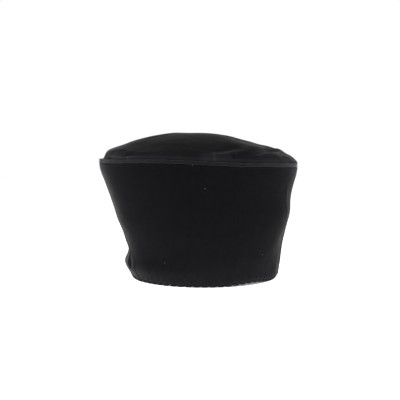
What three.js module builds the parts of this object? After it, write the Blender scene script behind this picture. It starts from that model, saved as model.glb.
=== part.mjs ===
// A black velvet fez: a tall soft band that flares from hem to rim, a domed crown sewn just inside the rim,
// a rolled welt between the two, and a scalloped elastic binding that draws the hem in.
// Millimetres, +Z up. The origin lies on the surface that the cap stands on, under the middle of its outline.
// -Y is the near side, and +X is on its right. A bearing is in degrees round the cap, from -Y towards +X.
import * as THREE from "three";

// Driving sizes
const RIM_WIDTH = 208; // across the rim, side to side
const RIM_DEPTH = 226; // across the rim, near to far
const RIM_HEIGHT = 116.7; // from the floor to the band's top edge, at mid width
const RIM_SIDE_RISE = 4.2; // how much higher the rim is on the left than on the right
const CROWN_RISE = 34.3; // from the rim to the top of the crown
const BAND_WALL = 3; // velvet, stiffener and facing together
const CROWN_WALL = 1.8; // velvet and its backing
const SKIRT_DEPTH = 5; // the crown's seam allowance, turned down inside the band
const WELT_HEIGHT = 3.4;
const WELT_PROUD = 0.3; // how far the welt stands out past the band
const HEM_HEIGHT = 4.5;
const HEM_WALL = 2.4;
const SCALLOP_PITCH = 7.6; // along the hem, about
const SCALLOP_RISE = 0.9; // the notch between two scallops
const SCALLOP_PUFF = 0.5; // how far a scallop swells out past the notch beside it
const HEM_TURN_IN = 2.5; // how far the hem's foot is drawn in under the band
const HEM_LIFT = 1.9; // where the hem comes off the floor, at the right of the near side
const BAND_FOLD = 3; // the band's deepest crease or hollow
const CROWN_FOLD = 5; // the crown's deepest fold
const CROWN_SWELL = 0.7; // how far the crown swells over the welt
const CROWN_SIDE_SWELL = 2.3; // it swells so much more on the right, and draws back as much on the left
const CLEARANCE = 0.3; // between sewn pieces

// Shape and fineness
const PLAN_EXPONENT = 2.15; // 2 is an ellipse, more is squarer
const SEGMENTS = 84;
const STEPS_PER_SCALLOP = 4;
const LIFT_BEARING = 33; // where HEM_LIFT is greatest
const LIFT_SPREAD = 15; // degrees
const NOTCH_START = 0.26; // from a scallop's middle, as a share of the pitch
const NOTCH_END = 0.49;
const FULL_TURN = 360;

// The band's outer face from hem to rim. height is a share of the band's own height; left, right and depth
// are shares of the rim's half width and half depth.
const BAND_SECTIONS = [
  { height: 0.0, left: 0.692, right: 0.811, depth: 0.806 },
  { height: 0.082, left: 0.74, right: 0.821, depth: 0.817 },
  { height: 0.188, left: 0.708, right: 0.832, depth: 0.828 },
  { height: 0.294, left: 0.726, right: 0.851, depth: 0.841 },
  { height: 0.4, left: 0.77, right: 0.882, depth: 0.863 },
  { height: 0.49, left: 0.811, right: 0.91, depth: 0.881 },
  { height: 0.587, left: 0.843, right: 0.929, depth: 0.903 },
  { height: 0.702, left: 0.884, right: 0.932, depth: 0.929 },
  { height: 0.826, left: 0.935, right: 0.956, depth: 0.96 },
  { height: 0.924, left: 0.977, right: 0.985, depth: 0.985 },
  { height: 1.0, left: 1.0, right: 1.0, depth: 1.0 },
];

// Creases and hollows of the band, each along a line from one bearing and height to another. width is a share
// of the band's height, and push a share of BAND_FOLD, outwards where it is positive.
const BAND_FOLDS = [
  { name: "left crease", fromBearing: -84, fromHeight: 0.93, toBearing: -80, toHeight: 0.3, width: 0.06, push: 0.3 },
  { name: "left crease foot", fromBearing: -80, fromHeight: 0.3, toBearing: -54, toHeight: 0.03, width: 0.06, push: 0.5 },
  { name: "tuck behind it", fromBearing: -96, fromHeight: 0.3, toBearing: -72, toHeight: 0.05, width: 0.06, push: -0.4 },
  { name: "left bulge", fromBearing: -116, fromHeight: 0.1, toBearing: -96, toHeight: 0.1, width: 0.12, push: 0.5 },
  { name: "right hollow", fromBearing: 27, fromHeight: 0.0, toBearing: 76, toHeight: 0.4, width: 0.11, push: -1 },
  { name: "right ridge", fromBearing: 16, fromHeight: 0.06, toBearing: 72, toHeight: 0.55, width: 0.1, push: 0.35 },
  { name: "far hollow", fromBearing: 152, fromHeight: 0.2, toBearing: 160, toHeight: 0.75, width: 0.24, push: -0.5 },
  { name: "far left hollow", fromBearing: -148, fromHeight: 0.25, toBearing: -140, toHeight: 0.7, width: 0.22, push: -0.45 },
];

// The crown from the seam to its top. reach is a share of the way out from the axis to the seam, rise a share of
// the height above the welt, and swell a share of CROWN_SWELL and CROWN_SIDE_SWELL.
const CROWN_SECTIONS = [
  { reach: 1.0, rise: 0.0, swell: 0.0 },
  { reach: 0.985, rise: 0.07, swell: 1.0 },
  { reach: 0.95, rise: 0.24, swell: 0.7 },
  { reach: 0.885, rise: 0.34, swell: 0.3 },
  { reach: 0.8, rise: 0.465, swell: 0.0 },
  { reach: 0.69, rise: 0.625, swell: 0.0 },
  { reach: 0.55, rise: 0.765, swell: 0.0 },
  { reach: 0.38, rise: 0.895, swell: 0.0 },
  { reach: 0.2, rise: 0.985, swell: 0.0 },
  { reach: 0.0, rise: 1.0, swell: 0.0 },
];
const FOLD_FADE = 0.1; // the share of the reach, next to the seam, over which the crown's folds die away

// Folds of the crown, each along a line in plan. X and Y are shares of the seam's half width and half depth,
// width is a share of the rim's width, and lift a share of CROWN_FOLD.
const CROWN_FOLDS = [
  { name: "right slack", fromX: 0.6, fromY: -0.45, toX: 0.64, toY: 0.5, width: 0.13, lift: -0.6 },
  { name: "near right ridge", fromX: 0.17, fromY: -0.9, toX: 0.6, toY: -0.3, width: 0.032, lift: 0.5 },
  { name: "hollow under it", fromX: 0.38, fromY: -0.82, toX: 0.68, toY: -0.42, width: 0.036, lift: -0.5 },
  { name: "right ridge", fromX: 0.62, fromY: -0.68, toX: 0.84, toY: -0.05, width: 0.03, lift: 0.45 },
  { name: "hollow by the rim", fromX: 0.78, fromY: -0.52, toX: 0.92, toY: -0.1, width: 0.026, lift: -0.35 },
  { name: "near left ridge", fromX: -0.81, fromY: -0.15, toX: -0.47, toY: -0.8, width: 0.032, lift: 0.4 },
  { name: "left pocket", fromX: -0.68, fromY: -0.64, toX: -0.36, toY: -0.86, width: 0.026, lift: -0.5 },
  { name: "left ridge", fromX: -0.9, fromY: -0.22, toX: -0.7, toY: -0.62, width: 0.026, lift: 0.3 },
  { name: "dip at the top", fromX: -0.08, fromY: -0.5, toX: -0.08, toY: 0.6, width: 0.045, lift: -0.22 },
  { name: "slope right of the top", fromX: 0.28, fromY: -0.35, toX: 0.26, toY: 0.5, width: 0.1, lift: -0.22 },
  { name: "far left hollow", fromX: -0.5, fromY: 0.78, toX: -0.22, toY: 0.4, width: 0.05, lift: -0.35 },
  { name: "far ridge", fromX: 0.3, fromY: 0.88, toX: 0.18, toY: 0.45, width: 0.045, lift: 0.3 },
];

// The welt is a small roll on the band's top edge. inset is a share of BAND_WALL, in from the band's outer face,
// proud a share of WELT_PROUD and up a share of WELT_HEIGHT.
const WELT_SECTION = [
  { inset: 0.1, proud: 0, up: 0 },
  { inset: 0.0, proud: 1, up: 0.3 },
  { inset: 0.08, proud: 0, up: 0.76 },
  { inset: 0.45, proud: 0, up: 1 },
  { inset: 0.9, proud: 0, up: 0.9 },
  { inset: 1.0, proud: 0, up: 0 },
];

// The hem's binding. across is a share of HEM_WALL, inwards from the middle of the band's wall, up a share of
// HEM_HEIGHT, and notch says how much of each scallop's rise and puff the point takes.
const HEM_SECTION = [
  { across: 0.3, up: 0, notch: 1 },
  { across: -0.3, up: 0, notch: 1 },
  { across: -0.5, up: 0.35, notch: 0.5 },
  { across: -0.4, up: 1, notch: 0 },
  { across: 0.4, up: 1, notch: 0 },
  { across: 0.5, up: 0.35, notch: 0 },
];

// Derived sizes
const RIM_HALF_WIDTH = RIM_WIDTH / 2;
const RIM_HALF_DEPTH = RIM_DEPTH / 2;
const BAND_FOOT = HEM_HEIGHT + CLEARANCE;
const BAND_SPAN = RIM_HEIGHT - BAND_FOOT;
const SKIRT_FOOT = 1 - SKIRT_DEPTH / BAND_SPAN; // a share of the band's height
const WELT_FOOT = CLEARANCE; // above the rim
const WELT_TOP = WELT_FOOT + WELT_HEIGHT;
const SEAM_INSET = BAND_WALL + CLEARANCE;
const CROWN_FOOT = WELT_TOP + CLEARANCE; // where the crown leaves the welt, above the rim
const DOME_RISE = CROWN_RISE - CROWN_FOOT;
const RIM_RADIUS = (RIM_HALF_WIDTH + RIM_HALF_DEPTH) / 2;

// A smooth hill: 1 at 0, and nothing past 2.
function bell(distance) {
  return Math.max(0, 1 - (distance / 2) ** 2) ** 4;
}

// Brings a difference of bearings to between -180 and 180 degrees.
function wrapped(bearing) {
  return THREE.MathUtils.euclideanModulo(bearing + FULL_TURN / 2, FULL_TURN) - FULL_TURN / 2;
}

function distanceToLine(point, from, to) {
  return new THREE.Line3(from, to).closestPointToPoint(point, true, new THREE.Vector3()).distanceTo(point);
}

// The band's half width, half depth and sideways offset at a share of its height.
function bandSection(height) {
  const above = Math.max(1, BAND_SECTIONS.findIndex((row) => row.height >= height));
  const low = BAND_SECTIONS[above - 1];
  const high = BAND_SECTIONS[above];
  const mix = (height - low.height) / (high.height - low.height);
  const left = RIM_HALF_WIDTH * THREE.MathUtils.lerp(low.left, high.left, mix);
  const right = RIM_HALF_WIDTH * THREE.MathUtils.lerp(low.right, high.right, mix);
  const halfDepth = RIM_HALF_DEPTH * THREE.MathUtils.lerp(low.depth, high.depth, mix);
  return { halfWidth: (left + right) / 2, halfDepth, offset: (right - left) / 2 };
}

// How far the creases and hollows push the band outwards.
function bandPush(bearing, height) {
  let push = 0;
  for (const fold of BAND_FOLDS) {
    const middle = (fold.fromBearing + fold.toBearing) / 2;
    const flat = (turn, share) =>
      new THREE.Vector3(THREE.MathUtils.degToRad(wrapped(turn - middle)) * RIM_HALF_WIDTH, share * BAND_SPAN, 0);
    const from = flat(fold.fromBearing, fold.fromHeight);
    const to = flat(fold.toBearing, fold.toHeight);
    const away = distanceToLine(flat(bearing, height), from, to);
    push += BAND_FOLD * fold.push * bell(away / (fold.width * BAND_SPAN));
  }
  return push;
}

function hemLift(bearing) {
  return HEM_LIFT * bell(wrapped(bearing - LIFT_BEARING) / LIFT_SPREAD);
}

// The rim tilts, so everything that follows it rises to the left.
function tiltAt(x) {
  return (-RIM_SIDE_RISE / 2) * (x / RIM_HALF_WIDTH);
}

// A point of the band at a share of its height, set in from its outer face.
function bandPoint(bearing, height, inset) {
  const { halfWidth, halfDepth, offset } = bandSection(height);
  const turn = THREE.MathUtils.degToRad(bearing);
  const along = { x: Math.sin(turn), y: -Math.cos(turn) };
  const reach =
    (Math.abs(along.x / (halfWidth - inset)) ** PLAN_EXPONENT +
      Math.abs(along.y / (halfDepth - inset)) ** PLAN_EXPONENT) **
      (-1 / PLAN_EXPONENT) +
    bandPush(bearing, height);
  const x = offset + reach * along.x;
  const y = reach * along.y;
  const z = BAND_FOOT + height * BAND_SPAN + height * tiltAt(x) + (1 - height) * hemLift(bearing);
  return new THREE.Vector3(x, y, z);
}

// Lifts and hollows of the crown's folds, at shares of the seam's half width and half depth.
function crownLift(shareX, shareY, reach) {
  let lift = 0;
  for (const fold of CROWN_FOLDS) {
    const flat = (x, y) => new THREE.Vector3(x * RIM_HALF_WIDTH, y * RIM_HALF_DEPTH, 0);
    const away = distanceToLine(flat(shareX, shareY), flat(fold.fromX, fold.fromY), flat(fold.toX, fold.toY));
    lift += CROWN_FOLD * fold.lift * bell(away / (fold.width * RIM_WIDTH));
  }
  return lift * THREE.MathUtils.smoothstep(1 - reach, 0, FOLD_FADE);
}

// A point of the crown, above the seam: out along a bearing, and up from the rim.
function crownPoint(bearing, row) {
  const seam = bandPoint(bearing, 1, SEAM_INSET);
  const turn = THREE.MathUtils.degToRad(bearing);
  const out = new THREE.Vector3(Math.sin(turn), -Math.cos(turn), 0);
  const point = new THREE.Vector3(seam.x * row.reach, seam.y * row.reach, 0);
  point.addScaledVector(out, row.swell * (CROWN_SWELL + CROWN_SIDE_SWELL * out.x) - CROWN_WALL * row.under.x);
  const lift = crownLift(point.x / RIM_HALF_WIDTH, point.y / RIM_HALF_DEPTH, row.reach);
  point.z = RIM_HEIGHT + tiltAt(point.x) + row.up + lift - CROWN_WALL * row.under.y;
  return point;
}

// Winds a profile round the cap: a lathe lays out the faces, and place() then puts each vertex where it belongs.
// The profile runs up the outside and down the inside.
function windRound(profile, segments, place) {
  const plain = profile.map((row, index) => new THREE.Vector2(row.onAxis ? 0 : RIM_RADIUS, index));
  const geometry = new THREE.LatheGeometry(plain, segments);
  const position = geometry.getAttribute("position");
  for (let vertex = 0; vertex < position.count; vertex += 1) {
    const bearing = (FULL_TURN * Math.floor(vertex / profile.length)) / segments;
    const { x, y, z } = place(bearing, profile[vertex % profile.length]);
    position.setXYZ(vertex, x, y, z);
  }
  geometry.computeVertexNormals();
  return geometry;
}

// Repeats a profile's first point at its end, so that the profile closes on itself.
function closed(profile) {
  return [...profile, profile[0]];
}

function bandGeometry() {
  const outside = BAND_SECTIONS.map(({ height }) => ({ height, inset: 0 }));
  const inside = BAND_SECTIONS.map(({ height }) => ({ height, inset: BAND_WALL })).reverse();
  return windRound(closed([...outside, ...inside]), SEGMENTS, (bearing, { height, inset }) =>
    bandPoint(bearing, height, inset),
  );
}

function weltGeometry() {
  return windRound(closed(WELT_SECTION), SEGMENTS, (bearing, { inset, proud, up }) => {
    const point = bandPoint(bearing, 1, inset * BAND_WALL - proud * WELT_PROUD);
    point.z += WELT_FOOT + up * WELT_HEIGHT;
    return point;
  });
}

// Adds the way that each point of the crown faces, as a share along the bearing and a share upwards.
function crownRows() {
  const rows = CROWN_SECTIONS.map((row) => ({ ...row, up: CROWN_FOOT + row.rise * DOME_RISE }));
  return rows.map((row, index) => {
    const before = rows[Math.max(0, index - 1)];
    const after = rows[Math.min(rows.length - 1, index + 1)];
    const slope = new THREE.Vector2((before.reach - after.reach) * RIM_RADIUS, after.up - before.up);
    const facing = new THREE.Vector2(slope.y, slope.x).normalize();
    if (index === 0) {
      facing.set(1, 0);
    }
    if (row.reach === 0) {
      facing.set(0, 1);
    }
    return { ...row, onAxis: row.reach === 0, facing };
  });
}

// The crown's profile runs down under the dome, round the skirt's foot and up over the dome.
function crownGeometry() {
  const rows = crownRows();
  const outside = rows.map((row) => ({ ...row, under: new THREE.Vector2() }));
  const inside = rows.map((row) => ({ ...row, under: row.facing })).reverse();
  const between = BAND_SECTIONS.map(({ height }) => height).filter((height) => height > SKIRT_FOOT);
  const heights = [SKIRT_FOOT, ...between];
  const skirtInside = heights.map((height) => ({ height, inset: SEAM_INSET + CROWN_WALL })).reverse();
  const skirtOutside = heights.map((height) => ({ height, inset: SEAM_INSET }));
  const profile = [...inside, ...skirtInside, ...skirtOutside, ...outside];
  return windRound(profile, SEGMENTS, (bearing, row) =>
    row.height === undefined ? crownPoint(bearing, row) : bandPoint(bearing, row.height, row.inset),
  );
}

// Each scallop of the hem has a flat foot, and a notch on either side of it.
function hemGeometry() {
  const { halfWidth, halfDepth } = bandSection(0);
  const scallops = Math.round((Math.PI * (halfWidth + halfDepth)) / SCALLOP_PITCH);
  const pitch = FULL_TURN / scallops;
  return windRound(closed(HEM_SECTION), scallops * STEPS_PER_SCALLOP, (bearing, { across, up, notch }) => {
    const fromMiddle = Math.abs(bearing / pitch - Math.round(bearing / pitch));
    const depth = notch * THREE.MathUtils.smoothstep(fromMiddle, NOTCH_START, NOTCH_END);
    const inset = BAND_WALL / 2 + across * HEM_WALL + HEM_TURN_IN * (1 - up) + SCALLOP_PUFF * depth;
    const point = bandPoint(bearing, 0, inset);
    point.z = hemLift(bearing) + up * HEM_HEIGHT + SCALLOP_RISE * depth;
    return point;
  });
}

const velvet = new THREE.MeshStandardMaterial({ name: "velvet", color: 0x19181b, roughness: 0.95, metalness: 0 });
const piping = new THREE.MeshStandardMaterial({ name: "piping", color: 0x242327, roughness: 0.85, metalness: 0 });
const elastic = new THREE.MeshStandardMaterial({ name: "elastic", color: 0x212024, roughness: 0.9, metalness: 0 });

function piece(name, geometry, material) {
  const mesh = new THREE.Mesh(geometry, material);
  mesh.name = name;
  return mesh;
}

const fez = new THREE.Group();
fez.add(
  piece("band", bandGeometry(), velvet),
  piece("crown", crownGeometry(), velvet),
  piece("rim_welt", weltGeometry(), piping),
  piece("hem_binding", hemGeometry(), elastic),
);

export default fez;
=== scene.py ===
# %% [markdown]
# # A black velvet fez
# The real cap is soft and has no brim. A tall velvet band flares from a narrow hem to a wide rim, a slack
# domed crown closes the top, a thin rolled piping runs round the rim between the two, and a scalloped
# elastic draws the hem in. The CAD solids give the sizes and the main folds. Here each of them is replaced
# by a finer piece of the same size, with the puckers, creases, stitches and pile that only a picture needs.
# Everything is in metres, +Z up. The near side is -Y, and a bearing is in degrees from there towards +X.

import bisect
import math
from collections import namedtuple
from functools import lru_cache

import bmesh
import bpy
from mathutils import Matrix, Vector, noise


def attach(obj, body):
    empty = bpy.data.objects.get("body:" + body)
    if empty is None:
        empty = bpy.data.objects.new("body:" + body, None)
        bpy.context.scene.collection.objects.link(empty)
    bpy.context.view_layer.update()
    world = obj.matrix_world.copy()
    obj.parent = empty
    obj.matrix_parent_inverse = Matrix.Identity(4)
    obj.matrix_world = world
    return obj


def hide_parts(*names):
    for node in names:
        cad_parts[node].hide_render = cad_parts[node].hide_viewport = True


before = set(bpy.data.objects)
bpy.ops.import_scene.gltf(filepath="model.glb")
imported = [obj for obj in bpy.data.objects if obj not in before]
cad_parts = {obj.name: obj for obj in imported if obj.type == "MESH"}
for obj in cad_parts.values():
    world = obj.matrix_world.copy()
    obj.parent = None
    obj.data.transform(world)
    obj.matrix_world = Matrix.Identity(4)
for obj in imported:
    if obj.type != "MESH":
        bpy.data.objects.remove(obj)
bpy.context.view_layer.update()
MM = 0.001
scene = bpy.context.scene
print("CAD nodes:", sorted(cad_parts))

# %% [markdown]
# ## The camera
# The photograph was taken from a little above the rim, so the crown shows only as a thin slice. A long lens
# from 0.85 m keeps the rim nearly straight. Its height decides how far the rim line curves, which is how it
# was found.

# %% Set up the camera
# The lens is in millimetres, and the camera looks down by a dip in degrees.
CAMERA_LENS = 72.2
CAMERA_SPOT = (0.0017, -0.850, 0.1244)
CAMERA_DIP = 3.03
camera_data = bpy.data.cameras.new("photo_camera")
camera_data.lens = CAMERA_LENS
camera_data.sensor_width = 36
camera = bpy.data.objects.new("photo_camera", camera_data)
camera.location = CAMERA_SPOT
camera.rotation_euler = (math.radians(90 - CAMERA_DIP), 0, 0)
scene.collection.objects.link(camera)
scene.camera = camera
print("camera distance from the cap's middle, m:", round(camera.location.length, 3))

# %% [markdown]
# ## Floor and light
# Black velvet shows its shape only by what the tips of its pile catch. Two soft strips at the sides, above
# the cap, draw its edges and folds. A white room fills in from the camera's side, and it is dimmer behind
# the cap, so that the outline isn't washed out. The floor glows, as a light table does. It glows most in a
# ring round the hem, and more in front than behind, which lights the foot of the band. Under the cap it is
# nearly dark, because no light would reach there.

# %% Helpers for node trees
def add_node(tree, kind, inputs=None, **settings):
    """Adds a node, sets its options, and sets or links its inputs by name or number."""
    made = tree.nodes.new(kind)
    for option, value in settings.items():
        setattr(made, option, value)
    for key, value in (inputs or {}).items():
        if isinstance(value, bpy.types.NodeSocket):
            tree.links.new(value, made.inputs[key])
        else:
            made.inputs[key].default_value = value
    return made


def blank_material(name, **constants):
    """Makes a material whose shader holds the given constants on its own sockets."""
    material = bpy.data.materials.new(name)
    material.use_nodes = True
    shader = material.node_tree.nodes["Principled BSDF"]
    for socket, value in constants.items():
        shader.inputs[socket.replace("_", " ")].default_value = value
    return material, material.node_tree, shader


def remap(tree, value, low, high, at_low, at_high):
    """Turns a value that runs from low to high into one that runs from at_low to at_high."""
    inputs = {"Value": value, "From Min": low, "From Max": high, "To Min": at_low, "To Max": at_high}
    return add_node(tree, "ShaderNodeMapRange", inputs).outputs[0]


def product(tree, one, other):
    """Multiplies two values."""
    return add_node(tree, "ShaderNodeMath", {0: one, 1: other}, operation="MULTIPLY").outputs[0]


def speckle(tree, spot, scale, detail, **more):
    """A noise over the given coordinates, of about scale repeats per metre."""
    inputs = {"Vector": spot, "Scale": scale, "Detail": detail, **more}
    return add_node(tree, "ShaderNodeTexNoise", inputs).outputs["Fac"]


def blend(tree, share, first, second):
    """Goes from the first colour to the second by a share."""
    inputs = {0: share, 6: (*first, 1), 7: (*second, 1)}
    return add_node(tree, "ShaderNodeMix", inputs, data_type="RGBA").outputs[2]


def bumped(tree, height, strength, distance, **more):
    """A normal that follows a height, over a distance in metres."""
    inputs = {"Height": height, "Strength": strength, "Distance": distance, **more}
    return add_node(tree, "ShaderNodeBump", inputs).outputs[0]


# %% Build the floor
FLOOR_RADIUS = 4.0
FLOOR_DROP = 0.1 * MM
HEM_MIDDLE = 6.2 * MM
HEM_HALF_WIDTH = 78 * MM
HEM_HALF_DEPTH = 91 * MM
GLOW_IN_FRONT = 3.7
GLOW_BEHIND = 1.5
GLOW_FAR_OFF = 0.95
GLOW_UNDER_CAP = 0.07
bm = bmesh.new()
bmesh.ops.create_circle(bm, cap_ends=True, segments=96, radius=FLOOR_RADIUS)
bmesh.ops.translate(bm, verts=bm.verts[:], vec=(0, 0, -FLOOR_DROP))
floor_mesh = bpy.data.meshes.new("floor")
bm.to_mesh(floor_mesh)
bm.free()
floor_material, floor_tree, floor_shader = blank_material(
    "pale_floor",
    Base_Color=(0.9, 0.9, 0.9, 1),
    Roughness=0.8,
    Emission_Color=(1, 1, 1, 1),
)
floor_spot = add_node(floor_tree, "ShaderNodeTexCoord").outputs["Object"]
floor_y = add_node(floor_tree, "ShaderNodeSeparateXYZ", {0: floor_spot}).outputs["Y"]
# Distance from the middle of the hem, in shares of its half sizes: 1 is the line on which the hem rests.
hem_mapping = {
    "Vector": floor_spot,
    "Location": (-HEM_MIDDLE / HEM_HALF_WIDTH, 0, 0),
    "Scale": (1 / HEM_HALF_WIDTH, 1 / HEM_HALF_DEPTH, 0),
}
in_hems = add_node(floor_tree, "ShaderNodeMapping", hem_mapping).outputs[0]
from_hem = add_node(floor_tree, "ShaderNodeVectorMath", {0: in_hems}, operation="LENGTH").outputs["Value"]
ring_glow = remap(floor_tree, floor_y, -0.05, 0.03, GLOW_IN_FRONT, GLOW_BEHIND)
table_glow = remap(floor_tree, from_hem, 1.12, 1.6, ring_glow, GLOW_FAR_OFF)
hem_shade = remap(floor_tree, from_hem, 0.96, 1.08, GLOW_UNDER_CAP, 1.0)
floor_tree.links.new(product(floor_tree, table_glow, hem_shade), floor_shader.inputs["Emission Strength"])
floor_mesh.materials.append(floor_material)
floor = bpy.data.objects.new("floor", floor_mesh)
scene.collection.objects.link(floor)
print("floor:", floor.name)

# %% Build the white room
# The camera sees the room plain white. Everything else is lit by the dimmer one, of which the strength
# follows the direction: Z up, and Y away from the camera.
world = bpy.data.worlds.new("white_room")
scene.world = world
world.use_nodes = True
room = world.node_tree
lit_room = room.nodes["Background"]
lit_room.inputs["Color"].default_value = (1, 1, 1, 1)
seen_room = add_node(room, "ShaderNodeBackground", {"Strength": 1.0, "Color": (1, 1, 1, 1)})
direction = add_node(room, "ShaderNodeTexCoord").outputs["Generated"]
toward = add_node(room, "ShaderNodeSeparateXYZ", {0: direction}).outputs
less_overhead = remap(room, toward["Z"], 0.0, 0.6, 0.55, 0.45)
less_behind = remap(room, toward["Y"], -0.3, 0.6, 1.0, 0.2)
room.links.new(product(room, less_overhead, less_behind), lit_room.inputs["Strength"])
eye = add_node(room, "ShaderNodeLightPath").outputs["Is Camera Ray"]
mixed_room = add_node(room, "ShaderNodeMixShader", {0: eye, 1: lit_room.outputs[0], 2: seen_room.outputs[0]})
room.links.new(mixed_room.outputs[0], room.nodes["World Output"].inputs["Surface"])
scene.view_settings.view_transform = "Standard"
print("room:", world.name)

# %% Hang the soft lights
SoftLight = namedtuple("SoftLight", "name place aim width height watts colour")
LIGHTS = [
    SoftLight("left_strip", (-0.85, 0.0, 0.62), (0, 0, 0.1), 0.35, 0.9, 5.2, (1.0, 0.95, 0.98)),
    SoftLight("right_strip", (0.88, 0.0, 0.60), (0, 0, 0.1), 0.35, 0.9, 4.6, (0.98, 0.98, 1.0)),
]
for lamp in LIGHTS:
    lamp_data = bpy.data.lights.new(lamp.name, "AREA")
    lamp_data.shape = "RECTANGLE"
    lamp_data.size = lamp.width
    lamp_data.size_y = lamp.height
    lamp_data.energy = lamp.watts
    lamp_data.color = lamp.colour
    hung = bpy.data.objects.new(lamp.name, lamp_data)
    hung.location = lamp.place
    hung.rotation_euler = (Vector(lamp.aim) - Vector(lamp.place)).to_track_quat("-Z", "Y").to_euler()
    hung.visible_camera = False
    scene.collection.objects.link(hung)
print("lights:", [lamp.name for lamp in LIGHTS])

# %% [markdown]
# ## Velvet
# Velvet is a woven ground with short upright fibres. Seen end on, the fibres swallow nearly all light. Seen
# from the side, their tips catch it, so every edge and every fold is drawn by a pale line. The sheen of the
# Principled shader does this. The black base is almost zero, and three noises break it up: single tufts,
# patches where the pile was pressed, and a slow drift of the dye between a warm and a cool black. On top of
# that, the black is painted paler along the seams, along some creases and in some patches, as painted sheen,
# and darker in one patch, as painted shade. Each vertex says how much. The crown's black is painted a little
# paler than the band's all over, as painted light.

# %% Mix the velvet
TUFT_SCALE = 2300
PATCH_SCALE = 130
DRIFT_SCALE = 24
# Painted light: a vertex's black is made paler by this many times itself for each unit that the vertex holds.
PAINTED_LIGHT_GAIN = 1.5


def velvet_material(name, warm, cool, **constants):
    """A pile fabric: tufts, pressed patches and a slow drift of colour, all on Object coordinates, with a
    painted sheen and shade from each vertex.
    """
    material, tree, shader = blank_material(name, Metallic=0.0, **constants)
    spot = add_node(tree, "ShaderNodeTexCoord").outputs["Object"]
    tufts = speckle(tree, spot, TUFT_SCALE, 2, Roughness=0.6)
    patches = speckle(tree, spot, PATCH_SCALE, 4, Roughness=0.55)
    drift = speckle(tree, spot, DRIFT_SCALE, 2, Distortion=0.6)
    # Painted light: how much paler each vertex's black is painted, as sheen where positive and as shade where
    # negative.
    painted_light = add_node(tree, "ShaderNodeAttribute", attribute_name="painted_sheen_and_shade").outputs["Fac"]
    paler = add_node(tree, "ShaderNodeMath", {0: painted_light, 1: PAINTED_LIGHT_GAIN, 2: 1.0}, operation="MULTIPLY_ADD")
    depth = remap(tree, tufts, 0.3, 0.7, 0.6, 1.4)
    worn = remap(tree, patches, 0.35, 0.65, 0.93, 1.07)
    amount = product(tree, product(tree, depth, worn), paler.outputs[0])
    dye = {0: blend(tree, drift, cool, warm), "Scale": amount}
    colour = add_node(tree, "ShaderNodeVectorMath", dye, operation="SCALE")
    tree.links.new(colour.outputs[0], shader.inputs["Base Color"])
    fuzz = bumped(tree, tufts, 0.35, 0.25 * MM)
    pressed = bumped(tree, patches, 0.12, 1.2 * MM, Normal=fuzz)
    tree.links.new(pressed, shader.inputs["Normal"])
    return material


def flecked_material(name, scale, detail, dark, pale, relief=None, **constants):
    """Two tones mixed by one fine noise on Object coordinates. If relief is given, as the strength and the
    distance of a bump, the noise roughens the surface as well."""
    material, tree, shader = blank_material(name, **constants)
    spot = add_node(tree, "ShaderNodeTexCoord").outputs["Object"]
    flecks = speckle(tree, spot, scale, detail)
    tree.links.new(blend(tree, flecks, dark, pale), shader.inputs["Base Color"])
    if relief:
        tree.links.new(bumped(tree, flecks, *relief), shader.inputs["Normal"])
    return material


SHEEN_TINT = (1.0, 0.98, 1.0, 1.0)
SMOOTH_PILE = {"Roughness": 1.0, "Specular_IOR_Level": 0.05, "Sheen_Weight": 0.2, "Sheen_Tint": SHEEN_TINT}
velvet = velvet_material(
    "black_velvet",
    warm=(0.0061, 0.0056, 0.0065),
    cool=(0.0053, 0.0056, 0.0066),
    Sheen_Roughness=0.24,
    **SMOOTH_PILE,
)
# Painted light: the crown's black is painted about 1.4 times paler than the band's, so that its slopes read as
# lit.
crown_velvet_painted_paler = velvet_material(
    "crown_velvet_painted_paler",
    warm=(0.0086, 0.0079, 0.0090),
    cool=(0.0076, 0.0079, 0.0090),
    Sheen_Roughness=0.22,
    **SMOOTH_PILE,
)
# Painted light: the piping's black is painted about three times paler than the band's, so that its roll reads
# as lit.
piping_velvet_painted_paler = velvet_material(
    "piping_velvet_painted_paler",
    warm=(0.0190, 0.0180, 0.0194),
    cool=(0.0170, 0.0175, 0.0194),
    Roughness=0.95,
    Specular_IOR_Level=0.1,
    Sheen_Weight=0.44,
    Sheen_Roughness=0.3,
    Sheen_Tint=SHEEN_TINT,
)
# The plain woven back of the velvet shows only inside the cap.
cloth_back = flecked_material(
    "cloth_back",
    scale=1600,
    detail=2,
    dark=(0.008, 0.0077, 0.0085),
    pale=(0.02, 0.0195, 0.021),
    relief=(0.4, 0.15 * MM),
    Roughness=0.9,
    Specular_IOR_Level=0.1,
)
print("cloth:", velvet.name, crown_velvet_painted_paler.name, piping_velvet_painted_paler.name, cloth_back.name)

# %% [markdown]
# ## The shape that all the pieces share
# The cap is drawn as level sections, as a ship's hull is. Each row below is one section, and a fair curve
# runs through the rows, so that the flare has no corners. Folds are lines laid on the cloth: each has a
# place, a width and a height, and the cloth rises or sinks round it in a smooth hill. One set of numbers
# serves every piece.

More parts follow.
